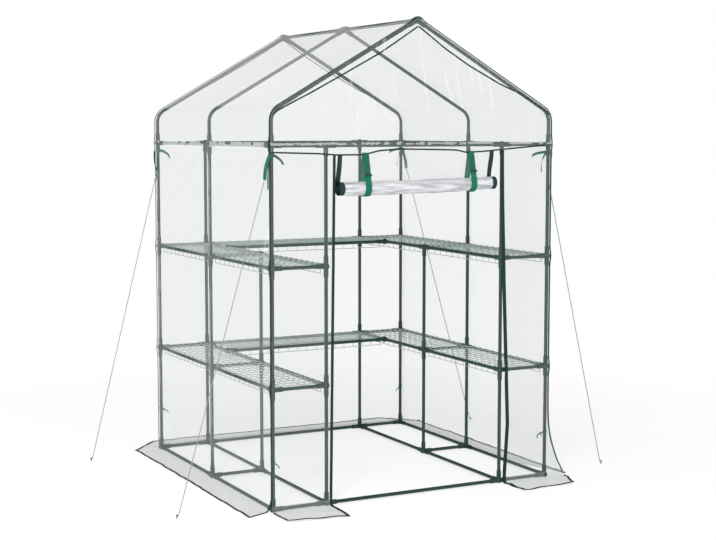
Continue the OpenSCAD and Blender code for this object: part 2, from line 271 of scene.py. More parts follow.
# Powder coat: a satin green with slight clouding and the coat's orange-peel skin
def makePowderCoat():
    material, tree, shader, place = startMaterial("powder_coated_steel")
    cloud = addNode(tree, "TexNoise", {"Vector": place, "Scale": perSize(70), "Detail": 3.0}).outputs["Fac"]
    skin = addNode(tree, "TexNoise", {"Vector": place, "Scale": perSize(1.1), "Detail": 1.0}).outputs["Fac"]
    satin = addNode(tree, "MapRange", {"Value": cloud, "To Min": 0.26, "To Max": 0.4})
    finish(tree, shader, cloud, "#0A2A22", "#123A2F", skin, depth=0.0002, strength=0.25,
           values={"Roughness": satin.outputs[0]})
    return material


# Moulded polypropylene: the same dark green, duller, with a fine grained skin
def makeMoulding():
    material, tree, shader, place = startMaterial("moulded_polypropylene")
    cloud = addNode(tree, "TexNoise", {"Vector": place, "Scale": perSize(25), "Detail": 2.0}).outputs["Fac"]
    grain = addNode(tree, "TexNoise", {"Vector": place, "Scale": perSize(0.6), "Detail": 2.0}).outputs["Fac"]
    finish(tree, shader, cloud, "#0A2A22", "#12382E", grain, depth=0.00015, strength=0.3,
           values={"Roughness": 0.48})
    return material


# Plastic-coated wire: pale grey green with a soft gloss, uneven where the dip ran
def makeWire():
    material, tree, shader, place = startMaterial("plastic_coated_wire")
    run = addNode(tree, "TexNoise", {"Vector": place, "Scale": perSize(8), "Detail": 2.0}).outputs["Fac"]
    finish(tree, shader, run, "#86968E", "#A8B4AE", run, depth=0.0003, strength=0.3,
           values={"Roughness": 0.38})
    return material


# Clear vinyl film: lets most light through, veils what is behind it and glints on its creases.
# Its IOR is above vinyl's own 1.53, so that creases this fine still glint.
def makeFilm(name, colour, alpha, rough, crease):
    material, tree, shader, place = startMaterial(name)
    fine = addNode(tree, "TexNoise", {"Vector": place, "Scale": perSize(45), "Detail": 4.0}).outputs["Fac"]
    creased = addNode(tree, "Bump", {"Height": fine, "Distance": crease, "Strength": 0.5})
    setInputs(tree, shader, {"Base Color": linear(colour), "Alpha": alpha, "Roughness": rough, "IOR": 2.2,
                             "Normal": creased.outputs[0]})
    return material


# Rolled-up film: many layers of film together, milky, with grey and white streaks along the roll
def makeRolledFilm():
    material, tree, shader, place = startMaterial("rolled_vinyl_film")
    drawn = addNode(tree, "VectorMath", {0: place, 1: (0.12, 1.0, 1.0)}, {"operation": "MULTIPLY"}).outputs[0]
    streak = addNode(tree, "TexNoise", {"Vector": drawn, "Scale": perSize(13), "Detail": 4.0}).outputs["Fac"]
    level = addNode(tree, "MapRange", {"Value": streak, "From Min": 0.36, "From Max": 0.62}).outputs[0]
    finish(tree, shader, level, "#A6A7AD", "#DADADF", streak, depth=0.003, strength=0.6,
           values={"Alpha": 0.84, "Roughness": 0.34})
    return material


# Woven tape and webbing: ribs at the weave's pitch in millimetres, and a little colour change
# from thread to thread
def makeWeave(name, dark, light, pitch, rough):
    material, tree, shader, place = startMaterial(name)
    rib = addNode(tree, "TexVoronoi", {"Vector": place, "Scale": perSize(pitch)}).outputs["Distance"]
    thread = addNode(tree, "TexNoise", {"Vector": place, "Scale": perSize(2 * pitch)}).outputs["Fac"]
    finish(tree, shader, thread, dark, light, rib, depth=0.0004, strength=0.5,
           values={"Roughness": rough, "Specular IOR Level": 0.2})
    return material


powderCoat = makePowderCoat()
moulding = makeMoulding()
wireCoat = makeWire()
# The same film veils more where it is seen aslant, so each face of the cover has its own share. The copies'
# lighter tones, lightest on the roof, are painted reflection.
film = makeFilm("clear_vinyl_film", "#8C9191", alpha=0.115, rough=0.14, crease=0.002)
gableVinyl = makeFilm("clear_vinyl_film_gable", "#ABB0B0", alpha=0.16, rough=0.14, crease=0.002)
wallVinyl = makeFilm("clear_vinyl_film_wall", "#A6ABAB", alpha=0.2, rough=0.16, crease=0.002)
roofVinyl = makeFilm("clear_vinyl_film_roof", "#E4E6E6", alpha=0.38, rough=0.16, crease=0.002)
# Painted highlight: lighter, more opaque film for the bands along the eave rails
eaveGlintVinyl = makeFilm("eave_glint_vinyl_film", "#D9DCDC", alpha=0.46, rough=0.2, crease=0.004)
# Painted highlight: lighter film for the upright streaks by the corners, beside the posts and on the gable
streakGlintVinyl = makeFilm("streak_glint_vinyl_film", "#D9DCDC", alpha=0.3, rough=0.18, crease=0.003)
# Painted shade: darker, more opaque film for the flaps and gussets on the ground
flapVinyl = makeFilm("flap_vinyl_film", "#959A9A", alpha=0.36, rough=0.2, crease=0.003)
rolledFilm = makeRolledFilm()
bindingTape = makeWeave("woven_binding_tape", "#16282A", "#243A36", pitch=1.1, rough=0.7)
zipTape = makeWeave("woven_zip_tape", "#10271F", "#18362C", pitch=1.1, rough=0.65)
webbing = makeWeave("polyester_webbing", "#005A40", "#047250", pitch=1.4, rough=0.6)
darkWebbing = makeWeave("dark_polyester_webbing", "#104E3D", "#1A624E", pitch=1.4, rough=0.6)
cordFibre = makeWeave("polyethylene_rope", "#7C7C7C", "#979797", pitch=0.9, rough=0.6)
print("materials made")

slotMaterials = {"green_steel_tube": powderCoat, "green_connector_plastic": moulding,
                 "coated_shelf_wire": wireCoat, "clear_film": film, "dark_zip_tape": bindingTape,
                 "green_webbing": webbing, "grey_rope": cordFibre}
for part in frame["record"]["subparts"]:
    partMesh = nodes[part["node"]].data
    partMesh.materials.clear()
    partMesh.materials.append(slotMaterials[part["material_slot"]])

# The cover's outline in X and Z, from the left flap over the ridge to the right flap
coverShape = dict(flap=0.120, foot=0.012, lift=0.0015, ridgeRound=0.010, step=0.0125,
                  footSteps=9, bendSteps=16, ridgeSteps=9)
filmGap = filmX - postX
bendOut = archBend["radius"] + filmGap
bendX = postX - archBend["radius"]
ridgeLine = ridgeZ + filmGap / math.cos(slope)


# Height of the roof's outline over x: the slope's straight line, and the arc of the bend near the wall
def roofTop(x):
    x = np.minimum(np.abs(x), filmX)
    line = ridgeLine - x * math.tan(slope)
    arcX = np.clip(x - bendX, 0, bendOut)
    arc = bendZ + np.sqrt(np.maximum(bendOut ** 2 - arcX ** 2, 0))
    turned = x > bendX + bendOut * math.cos(bendTurn)
    return np.where(turned, arc, line)


# The right half: the flap's edge, a quarter circle at the foot, the bend's arc
# and a parabola at the ridge that leaves the slope smoothly
def halfOutline(shape):
    r = shape["foot"]
    turn = np.linspace(0, np.pi / 2, shape["footSteps"])
    foot = np.stack([filmX + r - r * np.sin(turn), shape["lift"] + r - r * np.cos(turn)], -1)
    bend = np.linspace(0, bendTurn, shape["bendSteps"])
    arc = np.stack([bendX + bendOut * np.cos(bend), bendZ + bendOut * np.sin(bend)], -1)
    flapEdge = [[filmX + shape["flap"], shape["lift"]]]
    k = np.linspace(1, 0, shape["ridgeSteps"])
    top = ridgeLine - math.tan(slope) * shape["ridgeRound"] * (k ** 2 + 1) / 2
    return np.concatenate([flapEdge, foot, arc, np.stack([shape["ridgeRound"] * k, top], -1)])


rightHalf = halfOutline(coverShape)
outline = np.concatenate([rightHalf * [-1, 1], rightHalf[-2::-1]])
outlineLength = lineLength(outline)
outline = resample(outline, int(outlineLength / coverShape["step"]))
outlineT = tangents(outline)
outlineN = np.stack([-outlineT[:, 1], outlineT[:, 0]], -1)

# The front right foot stands off like a bell: a wide Gaussian in height and a tight one at the ground
bell = dict(out=0.070, tall=0.16, toe=0.028, toeTall=0.045, far=0.40, panelReach=0.16)


def bellOut(z):
    return bell["out"] * np.exp(-(z / bell["tall"]) ** 2) + bell["toe"] * np.exp(-(z / bell["toeTall"]) ** 2)


# Heights between which the wall's slack grows and the crumple at the foot comes and goes
wallFrom = (0.02, 0.15)
crumpleFrom = (0.004, 0.05)

# Side and roof film: the outline carried along Y, pushed in or out along its own normal
# by slack between the arches, creases, and folds that fan out from the corners
cover = dict(cols=123, wallSlack=0.006, roofSlack=0.007, bayPower=1.3, eaveFade=0.06, roofFrom=(-0.02, 0.08),
             edgeFade=0.05, inMost=0.003, bayMost=0.006, outMost=0.006, sideApart=3.0,
             wallCrease=0.0022, postShare=0.4,
             wallFolds=dict(seed=11, short=0.05, long=0.16, tilt=0.5, lean=0.1),
             roofCrease=0.00088, roofFolds=dict(seed=12, short=0.06, long=0.2, tilt=0.6, lean=1.4),
             eaveCrinkle=0.002, eaveOut=0.0008, eaveReach=0.022,
             eaveFolds=dict(seed=13, short=0.02, long=0.05, tilt=0.9, lean=0.3),
             footCrumple=0.003, footBias=-0.2, crumpleTo=(0.05, 0.45),
             footFolds=dict(seed=14, short=0.05, long=0.14, tilt=0.7, lean=0.2),
             flapWave=0.002, flapFrom=0.15, flapStart=0.3,
             flapWaves=dict(seed=15, count=6, short=0.09, long=0.3),
             flare=0.032, flareBack=0.15, flareRight=-0.6, pull=0.02, pullTall=0.06)
fanShape = dict(depth=0.0045, folds=13, reach=0.14, twist=6, hold=(0.02, 0.1), footZ=0.02)


# Folds that fan out from where the film is held: a wave in the angle that fades with distance
def fan(y, z, y0, z0):
    angle = np.arctan2(z - z0, y - y0)
    far = np.hypot(z - z0, y - y0)
    fold = np.cos(fanShape["folds"] * angle + fanShape["twist"] * far)
    return fanShape["depth"] * fold * smooth(far, *fanShape["hold"]) * np.exp(-far / fanShape["reach"])


cols = np.linspace(-1, 1, cover["cols"])[None, :]
across = outline[:, :1]
height = outline[:, 1:]
along = distanceAlong(outline)[:, None]
flapOut = np.clip((np.abs(across) - filmX) / coverShape["flap"], 0, 1)
onFlap = smooth(flapOut, 0.0, cover["flapFrom"])
# In front the left flap flares and the right one is drawn in; at the back both flare a little
frontFlare = np.where(across > 0, cover["flareRight"], 1.0)
flare = cover["flare"] * np.where(cols > 0, cover["flareBack"], frontFlare)
nearGround = smooth(cover["pullTall"] - height, 0, cover["pullTall"])
y = (filmY - cover["pull"] * nearGround + (flare + cover["pull"]) * flapOut) * cols
z = height + 0 * y
# The two sides' patterns are read far apart, so that they differ
yKey = y + np.sign(across) * cover["sideApart"]
edgeFade = smooth(1 - np.abs(y) / filmY, 0.0, cover["edgeFade"])
bay = np.abs(np.sin(np.pi * y / postY)) ** cover["bayPower"]
onRoof = smooth(z, kneeZ + cover["roofFrom"][0], kneeZ + cover["roofFrom"][1])
onWall = smooth(z, *wallFrom) * (1 - smooth(z, eaveZ - cover["eaveFade"], eaveZ))
push = -cover["wallSlack"] * bay * onWall - cover["roofSlack"] * bay * onRoof
nearPost = cover["postShare"] + (1 - cover["postShare"]) * bay
push = push + cover["wallCrease"] * onWall * creases(yKey, along, **cover["wallFolds"]) * nearPost
push = push + cover["roofCrease"] * onRoof * creases(y, along, **cover["roofFolds"])
atEave = np.exp(-((z - eaveZ) / cover["eaveReach"]) ** 2)
push = push + atEave * (cover["eaveOut"] + cover["eaveCrinkle"] * creases(yKey, along, **cover["eaveFolds"]))
low = (1 - smooth(z, *cover["crumpleTo"])) * smooth(z, *crumpleFrom)
push = push + cover["footCrumple"] * low * (creases(yKey, along, **cover["footFolds"]) + cover["footBias"])
for y0 in postRows:
    for z0 in (eaveZ, fanShape["footZ"]):
        push = push + onWall * fan(y, z, y0, z0)
inMost = cover["inMost"] + cover["bayMost"] * bay * (onWall + onRoof)
push = np.clip(push * edgeFade, -inMost, cover["outMost"])
hubPlaces = [(row, level) for row in postRows for level in hubLevels]
ridgePlaces = [(row, 0.0) for row in postRows]
overRidge = hubFilm["ridgeShare"] * hubBulge(y, across, ridgePlaces)
push = push + np.where(z < kneeZ, hubBulge(y, z, hubPlaces), overRidge)
# The flaps wave up from the ground towards their edges
wave = cover["flapWave"] * onFlap * (1 + waves(yKey, along, **cover["flapWaves"]))
wave = wave * (cover["flapStart"] + (1 - cover["flapStart"]) * flapOut)
push = push * (1 - onFlap) + np.maximum(wave, 0)
# The bell fades towards the back
belled = bellOut(height) * (across > 0) * (1 - flapOut) * smooth(-y, filmY - bell["far"], filmY)
coverGrid = np.stack([across + outlineN[:, :1] * push + belled, y, height + outlineN[:, 1:] * push], -1)

# Film kinds by face: walls and the right roof; the left roof, lighter as painted reflection; painted
# highlights along the eaves, where the film is also crinkled;
# flaps, darker as painted shade; and painted highlight streaks by the corners and along the posts. Factors on
# y, z and along draw the patterns out.
plainFace, roofFace, eaveGlintFace, flapFace, streakGlintFace = range(5)
faceShape = dict(streaks=dict(seed=16, short=0.05, long=0.12, tilt=0.3, lean=0.0), streakCut=0.4,
                 cornerReach=0.09, streakFrom=(0.2, 0.5), streakTo=(1.1, 1.3),
                 eaveBand=0.011, eaveDrop=0.001, eaveBreaks=dict(seed=17, count=6, short=0.03, long=0.3),
                 eaveCut=-0.7, hubReach=0.040,
                 postGlintLine=-0.026, postHalf=0.006, postBreaks=dict(seed=18, count=6, short=0.04, long=0.2),
                 postCut=-0.3)
# Painted highlights: upright streaks of lighter film near the end corners, between two heights
streaks = creases(yKey + 2 * y, 0.3 * along, **faceShape["streaks"])
nearCorner = np.exp(-((filmY - np.abs(y)) / faceShape["cornerReach"]) ** 2)
nearCorner = nearCorner * smooth(z, *faceShape["streakFrom"]) * (1 - smooth(z, *faceShape["streakTo"]))
# Painted highlight: a broken band of lighter, more opaque film along the eave rail, where the film catches
# light
byEave = np.abs(z - eaveZ + faceShape["eaveDrop"]) < faceShape["eaveBand"]
byEave = byEave & (waves(yKey, 3 * z, **faceShape["eaveBreaks"]) > faceShape["eaveCut"])
# The film lies smooth over the connectors, so the painted eave highlight leaves off there
atHub = np.minimum(np.abs(y), np.abs(np.abs(y) - postY)) < faceShape["hubReach"]
# Painted highlight: a narrow, broken strip of lighter film a little off each post row on the walls
fromGlintLine = y - faceShape["postGlintLine"]
byPost = np.minimum(np.abs(fromGlintLine), np.abs(fromGlintLine - postY)) < faceShape["postHalf"]
byPost = byPost & (onWall > 0.9) & (waves(yKey, 0.4 * z, **faceShape["postBreaks"]) > faceShape["postCut"])
kind = np.where((onRoof > 0.5) & (across < 0), roofFace, plainFace)
kind = np.where(byPost | (streaks * nearCorner > faceShape["streakCut"]), streakGlintFace, kind)
kind = np.where(byEave & ~atHub, eaveGlintFace, kind)
kind = np.where(flapOut > 0.02, flapFace, kind)
coverFilms = [wallVinyl, roofVinyl, eaveGlintVinyl, flapVinyl, streakGlintVinyl]
sideRoofFilm = sheetPiece("side_roof_film", coverGrid, coverFilms, flip=True,
                          faceSlots=kind[:-1, :-1].reshape(-1))
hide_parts("left_wall_film", "right_wall_film", "left_roof_film", "right_roof_film",
            "left_skirt", "right_skirt")
print("side and roof film:", coverGrid.shape)

# What the upright films at the back and the front have in common
endFilm = dict(footRows=7, fade=0.05, inMost=0.002, outMost=0.006, crumpleTo=(0.05, 0.4), flapFrom=(0.1, 0.4),
               folds=dict(short=0.04, long=0.15, tilt=0.45, lean=0.0),
               footFolds=dict(short=0.05, long=0.13, tilt=0.7, lean=0.3),
               flapWaves=dict(count=6, short=0.08, long=0.3))
ridgeHub = [(0.0, ridgeZ)]
endHubs = [(side * row, level) for side in (-1, 1) for row in (postX, innerX) for level in hubLevels]


# Upright film at one end: rows run from the flap's edge up the wall to the top line, columns along X.
# The push along Y is made of slack, creases and the bulges over the connectors.
def endGrid(xLine, topLine, flap, flapShift, settings, seed, outward):
    r = coverShape["foot"]
    flap = np.broadcast_to(np.asarray(flap, float), xLine.shape)[None, :]
    s = np.linspace(1, 0, settings["flapRows"])[:, None]
    turn = np.linspace(0, np.pi / 2, endFilm["footRows"])[1:, None]
    rise = np.linspace(0, 1, settings["rows"])[1:, None]
    out = np.concatenate([s * (flap - r) + r, r - r * np.sin(turn) + 0 * flap, 0 * rise + 0 * flap])
    foot = np.concatenate([0 * s, r - r * np.cos(turn), r + 0 * rise]) + coverShape["lift"]
    climb = np.concatenate([0 * s, 0 * turn, rise])
    high = foot + climb * (topLine[None, :] - coverShape["lift"] - r)
    # The flap leans to one side as it leaves the wall
    x = xLine[None, :] + np.clip(out / flap, 0, 1) * flapShift[None, :]
    width = xLine[-1] - xLine[0]
    fromEdge = np.minimum(x - xLine[0], xLine[-1] - x)
    fade = smooth(fromEdge, 0, endFilm["fade"]) * smooth(topLine[None, :] - high, 0, endFilm["fade"])
    bulge = np.abs(np.sin(np.pi * (xLine - xLine[0]) / width))[None, :]
    wall = smooth(high, *wallFrom)
    push = settings["slack"] * wall * bulge
    push = push + settings["crease"] * wall * fade * creases(x, high, seed, **endFilm["folds"])
    low = (1 - smooth(high, *endFilm["crumpleTo"])) * smooth(high, *crumpleFrom)
    push = push + settings["crumple"] * low * fade * creases(x, high, seed + 1, **endFilm["footFolds"])
    push = np.clip(push, -endFilm["inMost"], endFilm["outMost"]) + hubBulge(x, high, endHubs + ridgeHub)
    onFlap = smooth(out / flap, *endFilm["flapFrom"])
    wave = settings["flapWave"] * onFlap * (1 + waves(x, out, seed + 2, **endFilm["flapWaves"]))
    return np.stack([x, outward * (filmY + out + push * (1 - onFlap)), high + np.maximum(wave, 0)], -1)


# The flap and its foot have the second material, a darker film as painted shade
def flapFaces(grid, flapRows):
    lowRows = np.arange(grid.shape[0] - 1) < flapRows + endFilm["footRows"] - 1
    return np.repeat(lowRows, grid.shape[1] - 1).astype(int)


backShape = dict(rows=150, cols=116, flapRows=14, flap=0.178, slack=-0.004, crease=0.0022, crumple=0.004,
                 flapWave=0.002, seed=21)
gusset = dict(side=0.130, back=0.140, rows=12, cols=12, lap=0.002, over=0.0012, wave=0.003,
              waves=dict(seed=25, count=6, short=0.08, long=0.3))
backX = np.linspace(-filmX, filmX, backShape["cols"])
# The back flap's corners are cut in line with the gussets' slanting edges
cornerCut = gusset["back"] + gusset["back"] / gusset["side"] * (filmX - np.abs(backX))
backFlap = np.minimum(backShape["flap"], cornerCut)
backGrid = endGrid(backX, roofTop(backX), backFlap, 0 * backX, backShape, backShape["seed"], 1)
backFilm = sheetPiece("back_film", backGrid, [film, flapVinyl], flip=True,
                      faceSlots=flapFaces(backGrid, backShape["flapRows"]))
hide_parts("back_wall_film", "back_skirt")

# Gussets: triangles of film that join the side flaps to the back flap at the mitred corners
gussetGrids = {}
for side, sx in (("left", -1), ("right", 1)):
    u, v = np.meshgrid(np.linspace(0, 1, gusset["rows"]), np.linspace(0, 1, gusset["cols"]), indexing="ij")
    gx = sx * (filmX + gusset["side"] * u * (1 - v))
    gy = filmY - cover["pull"] * (1 - u) + gusset["lap"] * u + gusset["back"] * u * v
    wave = gusset["wave"] * np.maximum(waves(gx, gy, **gusset["waves"]), 0) * u
    gussetGrids[side] = np.stack([gx, gy, coverShape["lift"] + gusset["over"] + wave], -1)
    piece = sheetPiece(side + "_corner_gusset", gussetGrids[side], [flapVinyl], flip=sx < 0)

# The seam over the door dips where the straps hang from it
seamLine = dict(x=[-0.72, -0.485, -0.405, -0.284, -0.244, -0.195, -0.095, 0.108, 0.203, 0.254, 0.348, 0.435,
                   0.538, 0.72],
                z=[-0.003, -0.010, -0.016, -0.016, -0.010, 0.001, 0.008, 0.004, 0.001, -0.010, -0.005, 0.002,
                   0.010, 0.024])


def seamTop(x):
    return seamZ + np.interp(x, seamLine["x"], seamLine["z"])


frontShape = dict(rows=116, flapRows=14, cols=36, slack=-0.002, crease=0.002, crumple=0.005, flapWave=0.0035)
# Each panel's sides, with its flap's width and lean at either side; doorEdge says how far
# the edge at the doorway strays sideways over its height
panels = {
    "front_left": dict(sides=(-filmX, doorLeft), flap=[0.170, 0.207], lean=[-0.008, -0.016], byDoor=[0, 1],
                       seed=31, doorEdge=dict(z=[0.0, 1.55], x=[-0.023, -0.003])),
    "front_right": dict(sides=(doorRight, filmX), flap=[0.180, 0.162], lean=[0.004, -0.060], byDoor=[1, 0],
                        seed=41, doorEdge=dict(z=[0.0, 0.1, 0.28, 0.55, 0.95, 1.36, 1.55],
                                               x=[-0.003, 0.005, 0.016, 0.005, -0.011, -0.024, -0.027]))}
panelGrids = {}
for side, shape in panels.items():
    x0, x1 = shape["sides"]
    xLine = np.linspace(x0, x1, frontShape["cols"])
    flapLine = np.interp(xLine, [x0, x1], shape["flap"])
    leanLine = np.interp(xLine, [x0, x1], shape["lean"])
    grid = endGrid(xLine, seamTop(xLine), flapLine, leanLine, frontShape, shape["seed"], -1)
    grid[..., 0] += bellOut(grid[..., 2]) * (x1 > postX) * smooth(xLine, x1 - bell["panelReach"], x1)[None, :]
    byDoor = np.interp(xLine, [x0, x1], shape["byDoor"])
    grid[..., 0] += byDoor * np.interp(grid[..., 2], shape["doorEdge"]["z"], shape["doorEdge"]["x"])
    panelGrids[side] = grid
    panel = sheetPiece(side + "_panel_film", grid, [film, flapVinyl],
                       faceSlots=flapFaces(grid, frontShape["flapRows"]))
    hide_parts(side + "_film", side + "_skirt")

# Front gable: between the seam over the door and the roof's edge, with upright creases
gableShape = dict(rows=84, cols=288, crease=0.0022, edgeShare=0.08, sideFade=0.05,
                  folds=dict(seed=51, short=0.04, long=0.16, tilt=0.35, lean=0.0),
                  streaks=dict(seed=52, short=0.05, long=0.13, tilt=0.3, lean=0.0), streakCut=0.5,
                  streakX=-0.25, streakReach=0.20, streakFrom=(0.05, 0.3),
                  patches=dict(seed=53, count=8, short=0.04, long=0.2), patchEdge=(-0.6, 0.6),
                  railUp=0.004, railHalf=0.0045, railCut=-0.5,
                  railBreaks=dict(seed=54, count=6, short=0.03, long=0.3))
gableX = np.linspace(-filmX, filmX, gableShape["cols"])
climb = np.linspace(0, 1, gableShape["rows"])[:, None]
gableZ = seamTop(gableX)[None, :] * (1 - climb) + roofTop(gableX)[None, :] * climb
gx = gableX[None, :] + 0 * gableZ
gableFade = smooth(climb, 0, gableShape["edgeShare"]) * smooth(1 - climb, 0, gableShape["edgeShare"])
gableFade = gableFade * smooth(filmX - np.abs(gx), 0, gableShape["sideFade"])
gablePush = gableShape["crease"] * (0.4 + creases(gx, gableZ, **gableShape["folds"])) * gableFade
gableHubs = [(side * row, eaveZ) for side in (-1, 1) for row in (postX, innerX)]
gablePush = gablePush + hubBulge(gx, gableZ, gableHubs + ridgeHub)
gableGrid = np.stack([gx, -filmY - gablePush, gableZ], -1)
# Painted highlights: upright streaks of lighter film in patches left of the middle, above the lowest part
gableStreak = creases(2.5 * gx + 0.2 * gableZ, 0.3 * gableZ, **gableShape["streaks"])
streakZone = np.exp(-((gx - gableShape["streakX"]) / gableShape["streakReach"]) ** 2)
patches = waves(gx, 0.3 * gableZ, **gableShape["patches"])
streakZone = streakZone * smooth(patches, *gableShape["patchEdge"]) * smooth(climb, *gableShape["streakFrom"])
# The film lies creased along the upper half of the eave rail, shown by a painted highlight, broken in places
onRail = np.abs(gableZ - eaveZ - gableShape["railUp"]) < gableShape["railHalf"]
onRail = onRail & (waves(gx, gableZ, **gableShape["railBreaks"]) > gableShape["railCut"])
# Slots: plain, painted highlight on the rail, painted highlight streaks
gableKind = np.where(onRail, 1, np.where(gableStreak * streakZone > gableShape["streakCut"], 2, 0))
gableFilm = sheetPiece("front_gable_sheet", gableGrid, [gableVinyl, eaveGlintVinyl, streakGlintVinyl],
                       faceSlots=gableKind[:-1, :-1].reshape(-1))
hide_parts("front_gable_film")
print("end films made")

# Door sheet: hangs from the seam behind the roll, then winds inwards as a spiral whose radius
# falls evenly with the angle; the roll is lumpy along its length, tilted and sags a little
doorShape = dict(cols=72, turns=12.4, inner=0.007, stepAngle=0.21, tilt=0.015, sag=0.004, tape=0.020,
                 lump=0.10, bigShare=0.5, smallShare=0.35, bias=0.35,
                 bigLumps=dict(seed=61, count=6, short=0.07, long=0.4), bigRound=0.05,
                 smallLumps=dict(seed=62, count=6, short=0.03, long=0.09), smallRound=0.08,
                 hangRows=13, proud=0.0008, ripple=0.003,
                 ripples=dict(seed=63, count=6, short=0.06, long=0.25), rippleDrop=0.15)
rollX = np.linspace(rollLow[0], rollHigh[0], doorShape["cols"])
inTape = np.minimum(rollX - rollLow[0], rollHigh[0] - rollX) < doorShape["tape"]
theta = np.arange(0, 2 * np.pi * doorShape["turns"], doorShape["stepAngle"])[:, None]
radius = np.interp(theta, [0, theta[-1, 0]], [rollRadius, doorShape["inner"]])
rollLength = rollHigh[0] - rollLow[0]
fromMiddle = (rollX - (rollLow[0] + rollHigh[0]) / 2) / rollLength
centreZ = rollZ + doorShape["tilt"] * fromMiddle - doorShape["sag"] * np.cos(np.pi * fromMiddle)
bigLumps = waves(rollX[None, :], doorShape["bigRound"] * np.cos(theta), **doorShape["bigLumps"])
smallLumps = waves(rollX[None, :], doorShape["smallRound"] * np.sin(theta), **doorShape["smallLumps"])
lumps = doorShape["bigShare"] * bigLumps + doorShape["smallShare"] * smallLumps - doorShape["bias"]
lumpRadius = radius * (1 + doorShape["lump"] * lumps)
spiralY = rollY + lumpRadius * np.cos(theta)
spiralZ = centreZ[None, :] - lumpRadius * np.sin(theta)
hang = np.linspace(0, 1, doorShape["hangRows"] + 1)[:-1, None]
ripples = waves(rollX[None, :], doorShape["rippleDrop"] * hang, **doorShape["ripples"])
hangY = (-filmY - doorShape["proud"]) * (1 - hang) + spiralY[:1] * hang
hangY = hangY + doorShape["ripple"] * np.sin(np.pi * hang) * ripples
hangZ = seamTop(rollX)[None, :] * (1 - hang) + spiralZ[:1] * hang
doorY = np.concatenate([hangY, spiralY])
doorGrid = np.stack([np.broadcast_to(rollX, doorY.shape), doorY, np.concatenate([hangZ, spiralZ])], -1)
# Slots: the hanging stretch, the roll, the tape at the roll's ends
rowKind = np.where(np.arange(doorGrid.shape[0] - 1) < doorShape["hangRows"], 0, 1)[:, None]
doorSlots = np.where(inTape[:-1] | inTape[1:], 2, rowKind)
doorFilm = sheetPiece("door_film", doorGrid, [gableVinyl, rolledFilm, bindingTape],
                      flip=True, faceSlots=doorSlots.reshape(-1))
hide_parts("door_sheet", "door_roll")

# Binding tape: flat bands folded over the films' edges, following the same grid lines
binding = dict(width=0.011, backWidth=0.006, thick=0.0022, zipThick=0.003, inset=0.42, step=0.012, fewest=12)


def edgeBand(name, line, inward, width=binding["width"], thick=binding["thick"], material=bindingTape):
    line = resample(line, max(binding["fewest"], int(lineLength(line) / binding["step"])))
    inward = resample(inward, len(line))
    w = unit(inward - line)
    return bandPiece(name, line + w * width * binding["inset"], w, width, thick, [material])


edgeBand("tape_cover_front", coverGrid[:, 0], coverGrid[:, 1])
offGround = flapOut[:, 0] == 0
edgeBand("tape_cover_back", coverGrid[offGround, -1], coverGrid[offGround, -2], binding["backWidth"])
edgeBand("tape_left_flap", coverGrid[0], coverGrid[1])
edgeBand("tape_right_flap", coverGrid[-1], coverGrid[-2])
edgeBand("tape_back_flap", backGrid[0], backGrid[1])
for side in ("left", "right"):
    edgeBand("tape_" + side + "_gusset", gussetGrids[side][-1], gussetGrids[side][-2])
# For each panel the columns at the doorway and at the corner, each with the next one in,
# and the zip's width
panelEdges = [("front_left", (-1, -2), (0, 1), 0.013), ("front_right", (0, 1), (-1, -2), 0.019)]
for side, doorCols, cornerCols, zipWidth in panelEdges:
    grid = panelGrids[side]
    edgeBand("tape_" + side + "_flap", grid[0], grid[1])
    flapSide = grid[:frontShape["flapRows"] + 1]
    edgeBand("tape_" + side + "_flap_side", flapSide[:, cornerCols[0]], flapSide[:, cornerCols[1]])
    zipPiece = edgeBand("zip_" + side, grid[:, doorCols[0]], grid[:, doorCols[1]],
                        zipWidth, binding["zipThick"], zipTape)
    if side == "front_left":
        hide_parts("zip_tapes")

# Seams on the ends: over the door, and below the roof's edge by the measured drop
gableSeam = dict(x=[-0.70, -0.612, -0.526, -0.395, -0.193, -0.097, 0.0, 0.141, 0.265, 0.425, 0.534, 0.70],
                 drop=[0.022, 0.028, 0.036, 0.043, 0.052, 0.047, 0.040, 0.056, 0.057, 0.043, 0.022, 0.016],
                 width=0.007, thick=0.0022, backShare=0.6, proud=0.0012, steps=140)
doorSeam = dict(proud=0.001, steps=120)
seamX = np.linspace(-filmX, filmX, doorSeam["steps"])
overDoor = np.stack([seamX, 0 * seamX - filmY - doorSeam["proud"], seamTop(seamX)], -1)
bandPiece("seam_over_door", overDoor, [0, 0, 1], gableSeam["width"], gableSeam["thick"],
          [bindingTape])
gableLineX = np.linspace(gableSeam["x"][0], gableSeam["x"][-1], gableSeam["steps"])
gableDrop = np.interp(gableLineX, gableSeam["x"], gableSeam["drop"])
for name, end, share in (("seam_under_roof", -1, 1.0), ("seam_under_back_roof", 1, gableSeam["backShare"])):
    underRoof = np.stack([gableLineX, 0 * gableLineX + end * (filmY + gableSeam["proud"]),
                          roofTop(gableLineX) - share * gableDrop], -1)
    bandPiece(name, underRoof, [0, 0, 1], share * gableSeam["width"], gableSeam["thick"],
              [bindingTape])
print("tapes made")

